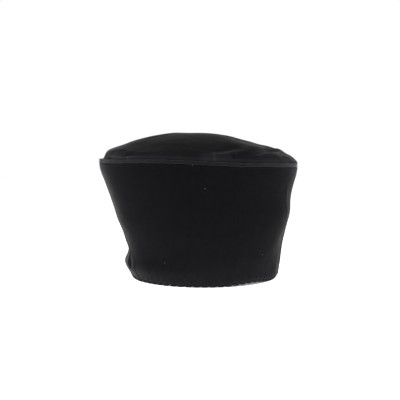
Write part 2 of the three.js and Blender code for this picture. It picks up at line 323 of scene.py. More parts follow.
# %% Name the sizes
RIM_HALF_WIDTH = 104 * MM
RIM_HALF_DEPTH = 113 * MM
RIM_HEIGHT = 116.7 * MM
RIM_SIDE_RISE = 4.2 * MM
CROWN_RISE = 34.3 * MM
BAND_WALL = 3 * MM
CROWN_WALL = 1.8 * MM
SKIRT_DEPTH = 5 * MM
WELT_HEIGHT = 3.4 * MM
WELT_PROUD = 0.3 * MM
HEM_HEIGHT = 4.5 * MM
HEM_WALL = 2.4 * MM
SCALLOPS = 70
SCALLOP_RISE = 0.9 * MM
SCALLOP_PUFF = 0.5 * MM
HEM_TURN_IN = 2.5 * MM
HEM_LIFT = 1.9 * MM
LIFT_BEARING = 33
LIFT_SPREAD = 15
CLEARANCE = 0.3 * MM
PLAN_EXPONENT = 2.15
BAND_FOOT = HEM_HEIGHT + CLEARANCE
BAND_SPAN = RIM_HEIGHT - BAND_FOOT
SEAM_INSET = BAND_WALL + CLEARANCE
CROWN_FOOT = CLEARANCE + WELT_HEIGHT + CLEARANCE
DOME_RISE = CROWN_RISE - CROWN_FOOT
PITCH = 360 / SCALLOPS
JOIN_AT_HEM = 16.0
JOIN_AT_RIM = 21.0

# %% Lay out the sections and the folds
# height is a share of the band's height; left, right and depth are shares of the rim's half sizes.
BandSection = namedtuple("BandSection", "height left right depth")
BAND_SECTIONS = [
    BandSection(0.0, 0.692, 0.811, 0.806),
    BandSection(0.082, 0.74, 0.821, 0.817),
    BandSection(0.188, 0.708, 0.832, 0.828),
    BandSection(0.294, 0.726, 0.851, 0.841),
    BandSection(0.4, 0.77, 0.882, 0.863),
    BandSection(0.49, 0.811, 0.91, 0.881),
    BandSection(0.587, 0.843, 0.929, 0.903),
    BandSection(0.702, 0.884, 0.932, 0.929),
    BandSection(0.826, 0.935, 0.956, 0.96),
    BandSection(0.924, 0.977, 0.985, 0.985),
    BandSection(1.0, 1.0, 1.0, 1.0),
]
# A line runs over the band through points of (bearing, height); width is a share of the band's height, push
# is in millimetres, outwards if positive, and fade is the share of the line over which each of its ends
# dies out.
BandFold = namedtuple("BandFold", "name line width push fade")
SHARP_TUCK = [(-72, 0.21), (-65, 0.153), (-60.3, 0.122), (-56.5, 0.09), (-57, 0.04)]
BAND_FOLDS = [
    BandFold("left crease", [(-84, 0.93), (-80, 0.3)], 0.06, 0.9, 0),
    BandFold("left crease foot", [(-80, 0.3), (-54, 0.03)], 0.06, 0.5, 0),
    BandFold("sharp tuck", SHARP_TUCK, 0.027, -1.6, 0.3),
    BandFold("left bulge", [(-116, 0.1), (-92, 0.12)], 0.12, 1.5, 0),
    BandFold("right hollow", [(44, 0.05), (76, 0.4)], 0.13, -0.7, 0),
    BandFold("right turn", [(74, 0.0), (76, 0.5)], 0.07, 0.8, 0.3),
    BandFold("right bend", [(16, 0), (19.5, 0.13), (23, 0.3), (29, 0.48), (31, 0.58)], 0.05, 0.35, 0),
    BandFold("right slack streak", [(56, 0.88), (66, 0.45)], 0.035, 0.35, 0.3),
    BandFold("far hollow", [(152, 0.2), (160, 0.75)], 0.24, -1.5, 0),
    BandFold("far left hollow", [(-148, 0.25), (-140, 0.7)], 0.22, -1.35, 0),
]
# reach is a share of the way out to the seam, rise and rise_near of the dome's height at the sides and at
# the near and far edges, and swell says how far the cloth rolls over the seam.
CrownSection = namedtuple("CrownSection", "reach rise rise_near swell")
CROWN_SECTIONS = [
    CrownSection(1.0, 0.0, 0.0, 0.0),
    CrownSection(0.995, -0.01, 0.0, 0.9),
    CrownSection(0.986, 0.07, 0.045, 1.0),
    CrownSection(0.95, 0.24, 0.15, 0.5),
    CrownSection(0.885, 0.34, 0.265, 0.3),
    CrownSection(0.8, 0.465, 0.405, 0.0),
    CrownSection(0.69, 0.625, 0.57, 0.0),
    CrownSection(0.55, 0.765, 0.73, 0.0),
    CrownSection(0.38, 0.895, 0.88, 0.0),
    CrownSection(0.2, 0.985, 0.975, 0.0),
    CrownSection(0.0, 1.0, 1.0, 0.0),
]
# Where the outline runs from the near and far edges to the sides, by how far its direction is sideways.
SIDE_START = 0.55
SIDE_FULL = 0.95
# The rim isn't quite level, and the crown rolls over it more in some places than in others. Bearings are in
# degrees, lift and swell in millimetres.
RimPoint = namedtuple("RimPoint", "bearing lift swell")
RIM_LIFT_STARTS = 0.6
RIM_POINTS = [
    RimPoint(-180, 0.0, 1.0),
    RimPoint(-120, 0.3, 0.4),
    RimPoint(-90, 0.9, -1.2),
    RimPoint(-70, 0.5, -0.2),
    RimPoint(-48, 0.3, 1.2),
    RimPoint(-33, 1.1, 2.2),
    RimPoint(-20, 1.5, 2.4),
    RimPoint(-5, 1.1, 2.4),
    RimPoint(8, 0.4, 2.2),
    RimPoint(20, 0.0, 2.0),
    RimPoint(60, 0.0, 2.6),
    RimPoint(90, 0.0, 3.6),
    RimPoint(130, 0.0, 2.6),
    RimPoint(180, 0.0, 1.0),
]
# A line runs over the plan through points of (x, y), in shares of the rim's half sizes; width is a share of
# the rim's width, lift is in millimetres, and fade is as on the band.
CrownFold = namedtuple("CrownFold", "name line width lift fade")
NEAR_RIGHT_RIDGE = [
    *[(0.0, -0.99), (0.1, -0.955), (0.2, -0.89), (0.3, -0.825)],
    *[(0.42, -0.715), (0.51, -0.59), (0.56, -0.45), (0.575, -0.25)],
]
BEHIND_NEAR_RIGHT_RIDGE = [(0.06, -0.95), (0.15, -0.885), (0.26, -0.785), (0.4, -0.67), (0.5, -0.56)]
RIGHT_RIDGE = [(0.46, -0.84), (0.6, -0.72), (0.71, -0.56), (0.78, -0.37), (0.81, -0.15), (0.81, 0.1)]
BEHIND_RIGHT_RIDGE = [(0.48, -0.68), (0.58, -0.57), (0.67, -0.43), (0.71, -0.25)]
NEAR_LEFT_RIDGE = [(-0.85, -0.22), (-0.755, -0.43), (-0.66, -0.61), (-0.545, -0.745), (-0.42, -0.86)]
LEFT_SHELF = [(-0.9, -0.27), (-0.8, -0.49), (-0.69, -0.65), (-0.52, -0.81)]
CROWN_FOLDS = [
    CrownFold("right slack", [(0.6, -0.62), (0.64, 0.6)], 0.13, -3.0, 0.25),
    CrownFold("near right ridge", NEAR_RIGHT_RIDGE, 0.03, 1.2, 0.2),
    CrownFold("hollow behind it", BEHIND_NEAR_RIGHT_RIDGE, 0.03, -0.75, 0.4),
    CrownFold("crest right of the top", [(0.12, -0.14), (0.36, -0.2), (0.58, -0.24)], 0.055, 1.0, 0.4),
    CrownFold("crest left of the top", [(-0.18, -0.16), (-0.4, -0.22), (-0.62, -0.26)], 0.045, 0.7, 0.3),
    CrownFold("pinch by the join", [(0.3, -0.94), (0.335, -0.86)], 0.009, -0.7, 0.3),
    CrownFold("right ridge", RIGHT_RIDGE, 0.022, 1.4, 0.3),
    CrownFold("wedge behind the right ridge", BEHIND_RIGHT_RIDGE, 0.028, -1.0, 0.35),
    CrownFold("short ridge by the rim", [(0.8, -0.53), (0.9, -0.33)], 0.01, 0.6, 0.35),
    CrownFold("right shoulder", [(0.79, -0.3), (0.76, 0.5)], 0.055, 2.7, 0.25),
    CrownFold("near left ridge", NEAR_LEFT_RIDGE, 0.014, 0.6, 0.35),
    CrownFold("left shelf", LEFT_SHELF, 0.026, -2.8, 0.35),
    CrownFold("left pocket", [(-0.66, -0.7), (-0.54, -0.79), (-0.36, -0.89)], 0.018, -0.6, 0.35),
    CrownFold("left shoulder", [(-0.88, -0.2), (-0.84, 0.5)], 0.05, 1.3, 0.25),
    CrownFold("dip at the top", [(-0.08, -0.4), (-0.08, 0.6)], 0.07, -0.6, 0.3),
    CrownFold("left fullness", [(-0.66, -0.3), (-0.6, 0.6)], 0.12, 0.6, 0.3),
    CrownFold("rise left of the top", [(-0.24, -0.1), (-0.24, 0.4)], 0.045, 0.6, 0.3),
    CrownFold("right fullness", [(0.6, -0.1), (0.5, 0.7)], 0.12, 2.3, 0.3),
    CrownFold("slope right of the top", [(0.28, -0.1), (0.26, 0.5)], 0.1, -1.6, 0),
    CrownFold("far left hollow", [(-0.5, 0.78), (-0.22, 0.4)], 0.05, -1.75, 0),
    CrownFold("far ridge", [(0.3, 0.88), (0.18, 0.45)], 0.045, 1.5, 0),
    CrownFold("panel crease", [(0.14, -0.985), (0.143, -0.83)], 0.005, 0.45, 0.2),
    CrownFold("panel crease, fading", [(0.14, -0.985), (0.15, -0.4)], 0.006, 0.25, 0.5),
]
FOLD_FADE = 0.04
# Painted sheen: along these lines the velvet's black is painted paler, as if it caught light even face on.
# Lines, width and fade are as for the folds of each cloth, and amount says how much paler it is painted,
# and where it is negative, how much darker, as painted shade.
PaintedLightPatch = namedtuple("PaintedLightPatch", "name line width amount fade")
BESIDE_SHARP_TUCK = [(-70, 0.22), (-68, 0.182), (-61.5, 0.15), (-56.8, 0.12), (-52.8, 0.083), (-53.5, 0.043)]
BAND_PAINTED_LIGHT = [
    PaintedLightPatch("beside the sharp tuck", BESIDE_SHARP_TUCK, 0.012, 1.4, 0.2),
    PaintedLightPatch("left of the hem", [(-66, 0.2), (-52, 0.13), (-34, 0.06)], 0.08, 0.6, 0.3),
    # Painted shade: this patch makes the black darker, to dim the sheen at the right foot.
    PaintedLightPatch("painted shade at the right foot", [(62, 0.1), (86, 0.36)], 0.13, -0.4, 0),
]
LEFT_ROLL = [(-0.95, 0.05), (-0.88, -0.38), (-0.78, -0.56), (-0.64, -0.72)]
RIGHT_ROLL = [(0.5, -0.82), (0.7, -0.62), (0.8, -0.47), (0.9, -0.2)]
CROWN_PAINTED_LIGHT = [
    PaintedLightPatch("under the right ridge", [(0.0, -0.97), (0.16, -0.92), (0.32, -0.84)], 0.035, 0.6, 0.2),
    PaintedLightPatch("panel crease", [(0.14, -0.99), (0.143, -0.85)], 0.006, 0.8, 0.1),
    PaintedLightPatch("left of the near edge", [(-0.72, -0.66), (-0.45, -0.87), (-0.1, -0.975)], 0.03, 0.1, 0.15),
    PaintedLightPatch("right roll", RIGHT_ROLL, 0.04, 0.4, 0.2),
    PaintedLightPatch("left roll", LEFT_ROLL, 0.04, 1.0, 0.2),
]
print("sections:", len(BAND_SECTIONS), len(CROWN_SECTIONS), "folds:", len(BAND_FOLDS), len(CROWN_FOLDS))

# %% Helpers that read the shape
def bell(distance):
    """A smooth hill: 1 at 0, and nothing past 2."""
    return max(0.0, 1 - (distance / 2) ** 2) ** 4


def ease(value, low, high):
    """Goes smoothly from 0 at low to 1 at high."""
    share = min(max((value - low) / (high - low), 0.0), 1.0)
    return share * share * (3 - 2 * share)


def wrapped(bearing):
    """Brings a difference of bearings to between -180 and 180 degrees."""
    return (bearing + 180) % 360 - 180


def fair(keys, values, at):
    """Reads a fair curve through the points (keys, values)."""
    last = len(keys) - 1
    low = min(max(bisect.bisect_right(keys, at) - 1, 0), last - 1)

    def slope(index):
        before = max(index - 1, 0)
        after = min(index + 1, last)
        return (values[after] - values[before]) / (keys[after] - keys[before])

    span = keys[low + 1] - keys[low]
    share = (at - keys[low]) / span
    rest = 1 - share
    return (
        (1 + 2 * share) * rest * rest * values[low]
        + share * rest * rest * span * slope(low)
        + share * share * (3 - 2 * share) * values[low + 1]
        - share * share * rest * span * slope(low + 1)
    )


def off_line(x, y, points):
    """How far a point lies from a line through some others, and at which share of the line's length."""
    nearest = math.inf
    passed = 0.0
    at = 0.0
    for (from_x, from_y), (to_x, to_y) in zip(points, points[1:]):
        along_x = to_x - from_x
        along_y = to_y - from_y
        length = math.hypot(along_x, along_y)
        share = ((x - from_x) * along_x + (y - from_y) * along_y) / length**2
        share = min(max(share, 0.0), 1.0)
        away = math.hypot(x - from_x - share * along_x, y - from_y - share * along_y)
        if away < nearest:
            nearest = away
            at = passed + share * length
        passed += length
    return nearest, at / passed


def fold_strength(x, y, points, width, fade):
    """1 on a line and nothing past twice its width; it dies out at the ends over a share of the length."""
    away, share = off_line(x, y, points)
    strength = bell(away / width)
    if fade:
        strength *= ease(share, 0, fade) * ease(1 - share, 0, fade)
    return strength


def outward(bearing):
    """The level direction straight out from the axis."""
    turn = math.radians(bearing)
    return Vector((math.sin(turn), -math.cos(turn), 0))


@lru_cache(maxsize=None)
def band_section(height):
    """Half width, half depth and sideways offset of the band at a share of its height."""
    heights = [row.height for row in BAND_SECTIONS]
    left = RIM_HALF_WIDTH * fair(heights, [row.left for row in BAND_SECTIONS], height)
    right = RIM_HALF_WIDTH * fair(heights, [row.right for row in BAND_SECTIONS], height)
    half_depth = RIM_HALF_DEPTH * fair(heights, [row.depth for row in BAND_SECTIONS], height)
    return (left + right) / 2, half_depth, (right - left) / 2


def band_strength(bearing, height, fold):
    """How strong a fold or a pressed patch of the band is at a spot."""
    per_degree = math.radians(1) * RIM_HALF_WIDTH
    middle = fold.line[0][0]
    points = [((turn - middle) * per_degree, share * BAND_SPAN) for turn, share in fold.line]
    around = wrapped(bearing - middle) * per_degree
    return fold_strength(around, height * BAND_SPAN, points, fold.width * BAND_SPAN, fold.fade)


def crown_strength(x, y, fold):
    """How strong a fold or a pressed patch of the crown is at a spot of the plan."""
    points = [(share_x * RIM_HALF_WIDTH, share_y * RIM_HALF_DEPTH) for share_x, share_y in fold.line]
    return fold_strength(x, y, points, fold.width * 2 * RIM_HALF_WIDTH, fold.fade)


def band_push(bearing, height):
    """How far the folds push the band outwards."""
    push = 0.0
    for fold in BAND_FOLDS:
        push += fold.push * MM * band_strength(bearing, height, fold)
    return push


def hem_lift(bearing):
    """How far the hem is off the floor, at the right of the near side."""
    return HEM_LIFT * bell(wrapped(bearing - LIFT_BEARING) / LIFT_SPREAD)


def tilt_at(x):
    """The rim tilts, so everything that follows it rises to the left."""
    return -RIM_SIDE_RISE / 2 * x / RIM_HALF_WIDTH


@lru_cache(maxsize=None)
def rim_shape(bearing):
    """How far the rim rises and the crown swells at a bearing, in metres."""
    bearings = [point.bearing for point in RIM_POINTS]
    lift = fair(bearings, [point.lift for point in RIM_POINTS], wrapped(bearing))
    swell = fair(bearings, [point.swell for point in RIM_POINTS], wrapped(bearing))
    return lift * MM, swell * MM


def band_spot(bearing, height, inset=0.0):
    """A point of the band at a share of its height, set in from its outer face."""
    half_width, half_depth, offset = band_section(height)
    out = outward(bearing)
    across = abs(out.x / (half_width - inset)) ** PLAN_EXPONENT
    along = abs(out.y / (half_depth - inset)) ** PLAN_EXPONENT
    spot = out * ((across + along) ** (-1 / PLAN_EXPONENT) + band_push(bearing, height))
    spot.x += offset
    spot.z = BAND_FOOT + height * BAND_SPAN + height * tilt_at(spot.x) + (1 - height) * hem_lift(bearing)
    spot.z += ease(height, RIM_LIFT_STARTS, 1) * rim_shape(bearing)[0]
    return spot


near_rim = band_spot(0, 1)
print("near point of the rim, mm:", [round(value / MM, 1) for value in near_rim])

# %% [markdown]
# ## Winding a piece round the cap
# All the pieces but the lint run round the same axis, so one helper makes them. It starts from a circle,
# extrudes it ring by ring into a plain tube, and closes the tube on itself where the piece is a solid wall.
# Only then is each vertex moved to its place, as a potter pulls a tube into shape. Rings that shrink towards a
# pole lose every second vertex on the way, so the faces stay about as long as they are wide.

# %% Helpers that wind and finish a piece
RING_SEGMENTS = 8 * SCALLOPS
MERGE_DISTANCE = 0.001 * MM


def bearing_of(spot):
    return math.degrees(math.atan2(spot.x, -spot.y))


def thinned(bm, ring):
    """Merges the vertices of a ring in pairs and returns the edges that are left of it."""
    level = ring[0].verts[0].co.z
    in_order = sorted(ring, key=lambda edge: bearing_of((edge.verts[0].co + edge.verts[1].co) / 2))
    bmesh.ops.collapse(bm, edges=in_order[::2])
    return [edge for edge in bm.edges if edge.is_boundary and abs(edge.verts[0].co.z - level) < 0.5]


def wind(segments, stations, place, closed=True, thin_at=(), painted_light=None, inner=None):
    """Extrudes a circle through the stations, then puts every vertex where place(bearing, station) says.
    The velvet's painted light comes as a function of a bearing and a station: how much paler its black is
    painted there, as painted sheen where positive and as painted shade where negative. inner says which
    stations lie inside the cap, where the faces take the second material."""
    bm = bmesh.new()
    bmesh.ops.create_circle(bm, segments=segments, radius=1.0)
    foot = bm.edges[:]
    ring = foot
    for level in range(1, len(stations)):
        made = bmesh.ops.extrude_edge_only(bm, edges=ring)["geom"]
        risen = [item for item in made if isinstance(item, bmesh.types.BMVert)]
        bmesh.ops.translate(bm, verts=risen, vec=(0, 0, 1))
        ring = [item for item in made if isinstance(item, bmesh.types.BMEdge) and item.is_boundary]
        if level in thin_at:
            ring = thinned(bm, ring)
    if closed:
        bmesh.ops.bridge_loops(bm, edges=foot + ring)
    around = bm.loops.layers.uv.new("around")
    for face in bm.faces:
        if inner and all(inner(stations[round(vert.co.z)]) for vert in face.verts):
            face.material_index = 1
        turns = [bearing_of(loop.vert.co) / 360 for loop in face.loops]
        for loop, turn in zip(face.loops, turns):
            turn += 1 if max(turns) - turn > 0.5 else 0
            loop[around].uv = (turn, loop.vert.co.z / len(stations))
    # Each vertex keeps its painted light for the velvet: painted sheen, and painted shade where negative.
    pile = bm.verts.layers.float.new("painted_sheen_and_shade")
    for vert in bm.verts:
        station = stations[round(vert.co.z)]
        vert.co = place(bearing_of(vert.co), station)
        if painted_light:
            vert[pile] = painted_light(bearing_of(vert.co), station)
    bmesh.ops.remove_doubles(bm, verts=bm.verts[:], dist=MERGE_DISTANCE)
    bmesh.ops.recalc_face_normals(bm, faces=bm.faces[:])
    return bm


def finished(bm, name, materials, node=None):
    """Turns a bmesh into a piece that rides on the cap."""
    mesh = bpy.data.meshes.new(name)
    bm.to_mesh(mesh)
    bm.free()
    for material in materials:
        mesh.materials.append(material)
    mesh.polygons.foreach_set("use_smooth", [True] * len(mesh.polygons))
    piece = bpy.data.objects.new(name, mesh)
    scene.collection.objects.link(piece)
    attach(piece, "root")
    if node:
        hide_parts(node)
    print(name, "faces:", len(mesh.polygons))
    return piece


# %% [markdown]
# ## The band
# The band is one strip of velvet over a stiffener, joined by a seam that runs up a little right of the
# middle. The elastic gathers its foot into small puckers that die out upwards. A wall with a thickness
# was chosen rather than a single sheet, because the hem and the inside show from below.

# %% Shape the outside of the band
PUCKER = 0.22 * MM
PUCKER_STRENGTH = 0.75
PUCKER_VARIES = 0.9
PUCKER_DRIFT = 0.9
PUCKER_FADE = 5.5 * MM
SLOW_FADE = 4 * PUCKER_FADE
OVERHANG = 0.8 * MM
JOIN_DEPTH = 0.2 * MM
JOIN_HALF_WIDTH = 0.65 * MM
SWELLING = 0.35
SWELLING_AWAY = 1.9 * MM
SWELLING_HALF_WIDTH = 0.9 * MM
SAG = 0.4 * MM
SAG_SCALE = 27
RUMPLE = 0.13 * MM
RUMPLE_SCALE = 85
WallStation = namedtuple("WallStation", "height inset outer")


def wander(spot, scale, seed=(0, 0, 0)):
    """A smooth noise between about -1 and 1; a seed gives it another course."""
    return noise.noise(spot * scale + Vector(seed))


def puckers(bearing, height):
    """The gathers that the elastic pulls into the foot of the band, one to a scallop and none quite alike."""
    above = height * BAND_SPAN
    around = outward(bearing)
    strength = PUCKER_STRENGTH + PUCKER_VARIES * wander(around, 9)
    shifted = bearing + PUCKER_DRIFT * wander(around, 7, (3, 1, 4))
    wave = math.cos(math.tau * shifted / PITCH)
    slow = wander(around, 12, (0, 0, above * 30))
    gathers = strength * wave * math.exp(-above / PUCKER_FADE)
    return PUCKER * (gathers + slow * math.exp(-above / SLOW_FADE))


def join_seam(bearing, height):
    """The valley of the seam that closes the band into a ring, with a low swelling on each side of it."""
    seam_bearing = JOIN_AT_HEM + (JOIN_AT_RIM - JOIN_AT_HEM) * height
    away = abs(wrapped(bearing - seam_bearing)) * math.radians(1) * RIM_HALF_WIDTH
    beside = SWELLING * bell((away - SWELLING_AWAY) / SWELLING_HALF_WIDTH)
    return JOIN_DEPTH * (beside - bell(away / JOIN_HALF_WIDTH))


def unevenness(spot):
    """Stiffened cloth is never quite even."""
    return SAG * wander(spot, SAG_SCALE) + RUMPLE * wander(spot, RUMPLE_SCALE, (7, 2, 5))


def band_place(bearing, station):
    """A point of the band, with the fine unevenness of its outer face."""
    spot = band_spot(bearing, station.height, station.inset)
    if station.outer:
        push = puckers(bearing, station.height) + join_seam(bearing, station.height) + unevenness(spot)
        spot += outward(bearing) * push
    return spot


# %% Wind the band
FINE_GAP = 0.95 * MM
WIDE_GAP = 1.7 * MM
FINE_ABOVE_HEM = 22 * MM
FINE_BELOW_RIM = 12 * MM
INNER_HEIGHTS = (1.0, 0.98, 0.93, 0.85, 0.75, 0.65, 0.55, 0.45, 0.35, 0.25, 0.16, 0.08, 0.03, 0.0)
# How far the painted light reaches from the seams, and down from the rim at the sides.
SEAM_LIGHT_SPREAD = 1.6 * MM
SIDE_LIGHT_SPREAD = 8 * MM


def band_stations():
    """Close rows at the hem and at the rim, wider ones between, rounded edges, and a plain inner face."""
    foot = -OVERHANG / BAND_SPAN
    rows = [
        WallStation(foot / 2, 1.1 * MM, True),
        WallStation(foot, 0.75 * MM, True),
        WallStation(foot, 0.3 * MM, True),
        WallStation(foot / 2, 0.02 * MM, True),
        WallStation(0.0, 0.0, True),
    ]
    above = 0.9 * MM
    while above < BAND_SPAN - 1.5 * MM:
        rows.append(WallStation(above / BAND_SPAN, 0.0, True))
        near_an_edge = above < FINE_ABOVE_HEM or above > BAND_SPAN - FINE_BELOW_RIM
        above += FINE_GAP if near_an_edge else WIDE_GAP
    rows.append(WallStation(1 - 0.8 * MM / BAND_SPAN, 0.12 * MM, True))
    rows.append(WallStation(1 - 0.2 * MM / BAND_SPAN, 0.5 * MM, True))
    rows.append(WallStation(1.0, 1.2 * MM, True))
    rows.extend(WallStation(height, BAND_WALL, False) for height in INNER_HEIGHTS)
    return rows


def band_painted_light(bearing, station):
    """Painted light: the band's black is painted paler along the seams at hem and rim, under the rim at both
    sides, and in the patches, and darker where a patch is negative.
    """
    above = station.height * BAND_SPAN
    below = BAND_SPAN - above
    amount = 0.1 * bell(above / SEAM_LIGHT_SPREAD) + 0.45 * bell(below / SEAM_LIGHT_SPREAD)
    # Painted light at both sides just under the rim.
    amount += 0.6 * ease(abs(outward(bearing).x), 0.55, 1) * bell(below / SIDE_LIGHT_SPREAD)
    for patch in BAND_PAINTED_LIGHT:
        amount += patch.amount * band_strength(bearing, station.height, patch)
    return amount


band_rows = band_stations()
bm = wind(RING_SEGMENTS, band_rows, band_place, painted_light=band_painted_light, inner=lambda station: not station.outer)
finished(bm, "velvet_band", [velvet, cloth_back], "band")
print("band rings:", len(band_rows))

# %% [markdown]
# ## The crown
# The crown is a round of velvet, eased into the rim and left slack, so it sags into a few soft folds. It is
# wound from its seam allowance, which is turned down inside the band, up over the roll at the rim and in to
# the top. Its wall comes from a Solidify modifier, because one sheet is easier to fold than two.

# %% Shape the crown
RING_GAP = 1.4 * MM
SKIRT_SHARES = (1.0, 0.66, 0.33, 0.0)
THIN_BELOW = 0.5
EASED_IN = 0.35 * MM
EASED_REACH = 0.05
CROWN_UNEVENNESS = 1.3
EVEN_REACH = 0.2
RIM_LIFT_ENDS = 0.35
# How far in from the seam the painted sheen along the piping reaches, as a share of the reach.
ROLL_LIGHT_SPREAD = 0.04
CROWN_STEPS = list(range(len(CROWN_SECTIONS)))
CrownStation = namedtuple("CrownStation", "skirt step")


@lru_cache(maxsize=None)
def crown_row(step):
    """The crown's section at a step, which may lie between two rows of the table."""
    columns = zip(*CROWN_SECTIONS)
    return CrownSection(*(fair(CROWN_STEPS, column, step) for column in columns))


def crown_lift(x, y, reach):
    """How far the folds lift the crown at a spot of the plan."""
    lift = 0.0
    for fold in CROWN_FOLDS:
        lift += fold.lift * MM * crown_strength(x, y, fold)
    return lift * ease(1 - reach, 0, FOLD_FADE)


def crown_place(bearing, station):
    """On the skirt, a point inside the band; past it, a point of the dome."""
    if station.skirt is not None:
        return band_spot(bearing, station.skirt, SEAM_INSET)
    row = crown_row(station.step)
    seam = band_spot(bearing, 1, SEAM_INSET)
    out = outward(bearing)
    spot = Vector((seam.x * row.reach, seam.y * row.reach, 0))
    rim_lift, swell = rim_shape(bearing)
    spot += out * row.swell * swell
    eased = EASED_IN * wander(out, 11) * bell((1 - row.reach) / EASED_REACH)
    sideways = ease(abs(out.x), SIDE_START, SIDE_FULL)
    rise = row.rise_near + sideways * (row.rise - row.rise_near)
    lift = crown_lift(spot.x, spot.y, row.reach)
    lift += CROWN_UNEVENNESS * unevenness(spot) * ease(1 - row.reach, 0, EVEN_REACH)
    spot.z = RIM_HEIGHT + tilt_at(spot.x) + CROWN_FOOT + rise * DOME_RISE + lift
    spot.z += rim_lift * (1 - ease(1 - row.reach, 0, RIM_LIFT_ENDS))
    return spot + out * eased


def crown_stations():
    """The skirt, then rings about RING_GAP apart from the seam to the pole, and where to thin them."""
    rows = [CrownStation(1 - SKIRT_DEPTH / BAND_SPAN * share, None) for share in SKIRT_SHARES]
    thin_at = []
    limit = THIN_BELOW
    for step, (row, after) in enumerate(zip(CROWN_SECTIONS, CROWN_SECTIONS[1:])):
        run = math.hypot((row.reach - after.reach) * RIM_HALF_DEPTH, (after.rise - row.rise) * DOME_RISE)
        count = math.ceil(run / RING_GAP)
        for part in range(count):
            if crown_row(step + part / count).reach < limit:
                limit /= 2
                thin_at.append(len(rows))
            rows.append(CrownStation(None, step + part / count))
    rows.append(CrownStation(None, len(CROWN_SECTIONS) - 1))
    return rows, thin_at


def crown_painted_light(bearing, station):
    """Painted sheen: the crown's black is painted paler where the cloth turns over the piping, and in the
    patches.
    """
    if station.skirt is not None:
        return 1.0
    reach = crown_row(station.step).reach
    seam = band_spot(bearing, 1, SEAM_INSET)
    amount = bell((1 - reach) / ROLL_LIGHT_SPREAD)
    for patch in CROWN_PAINTED_LIGHT:
        amount += patch.amount * crown_strength(seam.x * reach, seam.y * reach, patch)
    return amount


crown_rows, crown_thin_at = crown_stations()
bm = wind(RING_SEGMENTS, crown_rows, crown_place, closed=False, thin_at=crown_thin_at, painted_light=crown_painted_light)
top = max(bm.faces, key=lambda face: face.calc_center_median().z)
if top.normal.z < 0:
    bmesh.ops.reverse_faces(bm, faces=bm.faces[:])
velvet_crown = finished(bm, "velvet_crown", [crown_velvet_painted_paler, cloth_back], "crown")
wall = velvet_crown.modifiers.new("wall", "SOLIDIFY")
wall.thickness = CROWN_WALL
wall.offset = -1
wall.material_offset = 1
print("crown rings:", len(crown_rows), "thinned at:", crown_thin_at)

# %% [markdown]
# ## The rim piping
# A narrow strip is rolled over the seam and shows as two fine pale lines, one above the other, with a dark
# line between. A roll of two round lobes with a narrow waist between them catches the light in the same
# way. Its black is painted paler than the cloth on either side, as painted light. At the join of the band
# it is pulled down a little.

# %% Roll the piping
LOBE_RADIUS = 0.65 * MM
ROLL_FULLNESS = 0.15 * MM
ROLL_WOBBLE = 0.16 * MM
JOIN_PULL = 1.3 * MM
JOIN_TUCK = 0.5 * MM
JOIN_SPREAD = 1.5
UPPER_LOBE_PULL = 0.3
RollStation = namedtuple("RollStation", "inset up lobe")


def lobe(inset, up, start, end, count, number):
    """Points of the outline of a lobe round a middle, by the angle up from the outward direction."""
    for index in range(count):
        turn = math.radians(start + (end - start) * index / (count - 1))
        yield RollStation(inset - LOBE_RADIUS * math.cos(turn), up + LOBE_RADIUS * math.sin(turn), number)


roll_rows = [
    *lobe(0.85 * MM, 0.65 * MM, -95, 100, 10, 0),
    RollStation(1.5 * MM, 1.7 * MM, 1),
    *lobe(0.75 * MM, 2.75 * MM, -100, 120, 10, 1),
    RollStation(2.5 * MM, 2.7 * MM, 1),
    RollStation(2.8 * MM, 1.5 * MM, 0),
    RollStation(2.5 * MM, 0.2 * MM, 0),
]


def roll_place(bearing, station):
    """A point of the roll, a little uneven, and pulled down and in at the join of the band."""
    out = outward(bearing)
    lower = station.lobe == 0
    wobble = ROLL_WOBBLE * wander(out, 14, (0, 0, 5 + station.lobe))
    fuller = ROLL_FULLNESS * wander(out, 22, (0, 0, 9 + station.lobe))
    pulled = bell(wrapped(bearing - JOIN_AT_RIM) / JOIN_SPREAD)
    proud = WELT_PROUD if lower else 0
    spot = band_spot(bearing, 1, station.inset - proud - fuller + JOIN_TUCK * pulled)
    lowered = JOIN_PULL * pulled * (1 if lower else UPPER_LOBE_PULL)
    spot.z += CLEARANCE + station.up + wobble - lowered
    return spot


bm = wind(RING_SEGMENTS, roll_rows, roll_place)
finished(bm, "rim_piping", [piping_velvet_painted_paler], "rim_welt")

# %% [markdown]
# ## The hem's elastic
# A strip of elastic is sewn along the lower edge with a zigzag stitch. The thread wraps over the edge at
# every second turn and pulls it up, which makes the scallops. The strip is wound like the other pieces. Its
# ribs are part of the material, on the piece's own UV map, so that they follow it round.

# %% Weave the elastic and spin the thread
RIBS_PER_SCALLOP = 8
# A wave texture of scale 1 repeats 3.1831 times over a unit.
WAVES_PER_UNIT = 3.1831


def elastic_material():
    """Ribs across the strip, with fibres on them."""
    material, tree, shader = blank_material("ribbed_elastic", Roughness=0.95, Specular_IOR_Level=0.05)
    coordinates = add_node(tree, "ShaderNodeTexCoord").outputs
    in_ribs = {"Vector": coordinates["UV"], "Scale": (SCALLOPS * RIBS_PER_SCALLOP, 1, 1)}
    across = add_node(tree, "ShaderNodeMapping", in_ribs)
    ribs = add_node(
        tree,
        "ShaderNodeTexWave",
        {"Vector": across.outputs[0], "Scale": 1 / WAVES_PER_UNIT, "Distortion": 0.4},
        wave_type="BANDS",
        bands_direction="X",
    )
    fibres = speckle(tree, coordinates["Object"], 1500, 3)
    tone = blend(tree, fibres, (0.0035, 0.0033, 0.0038), (0.009, 0.0085, 0.0095))
    tree.links.new(tone, shader.inputs["Base Color"])
    raised = add_node(tree, "ShaderNodeMath", {0: ribs.outputs["Fac"], 1: fibres}, operation="ADD")
    tree.links.new(bumped(tree, raised.outputs[0], 0.6, 0.2 * MM), shader.inputs["Normal"])
    return material


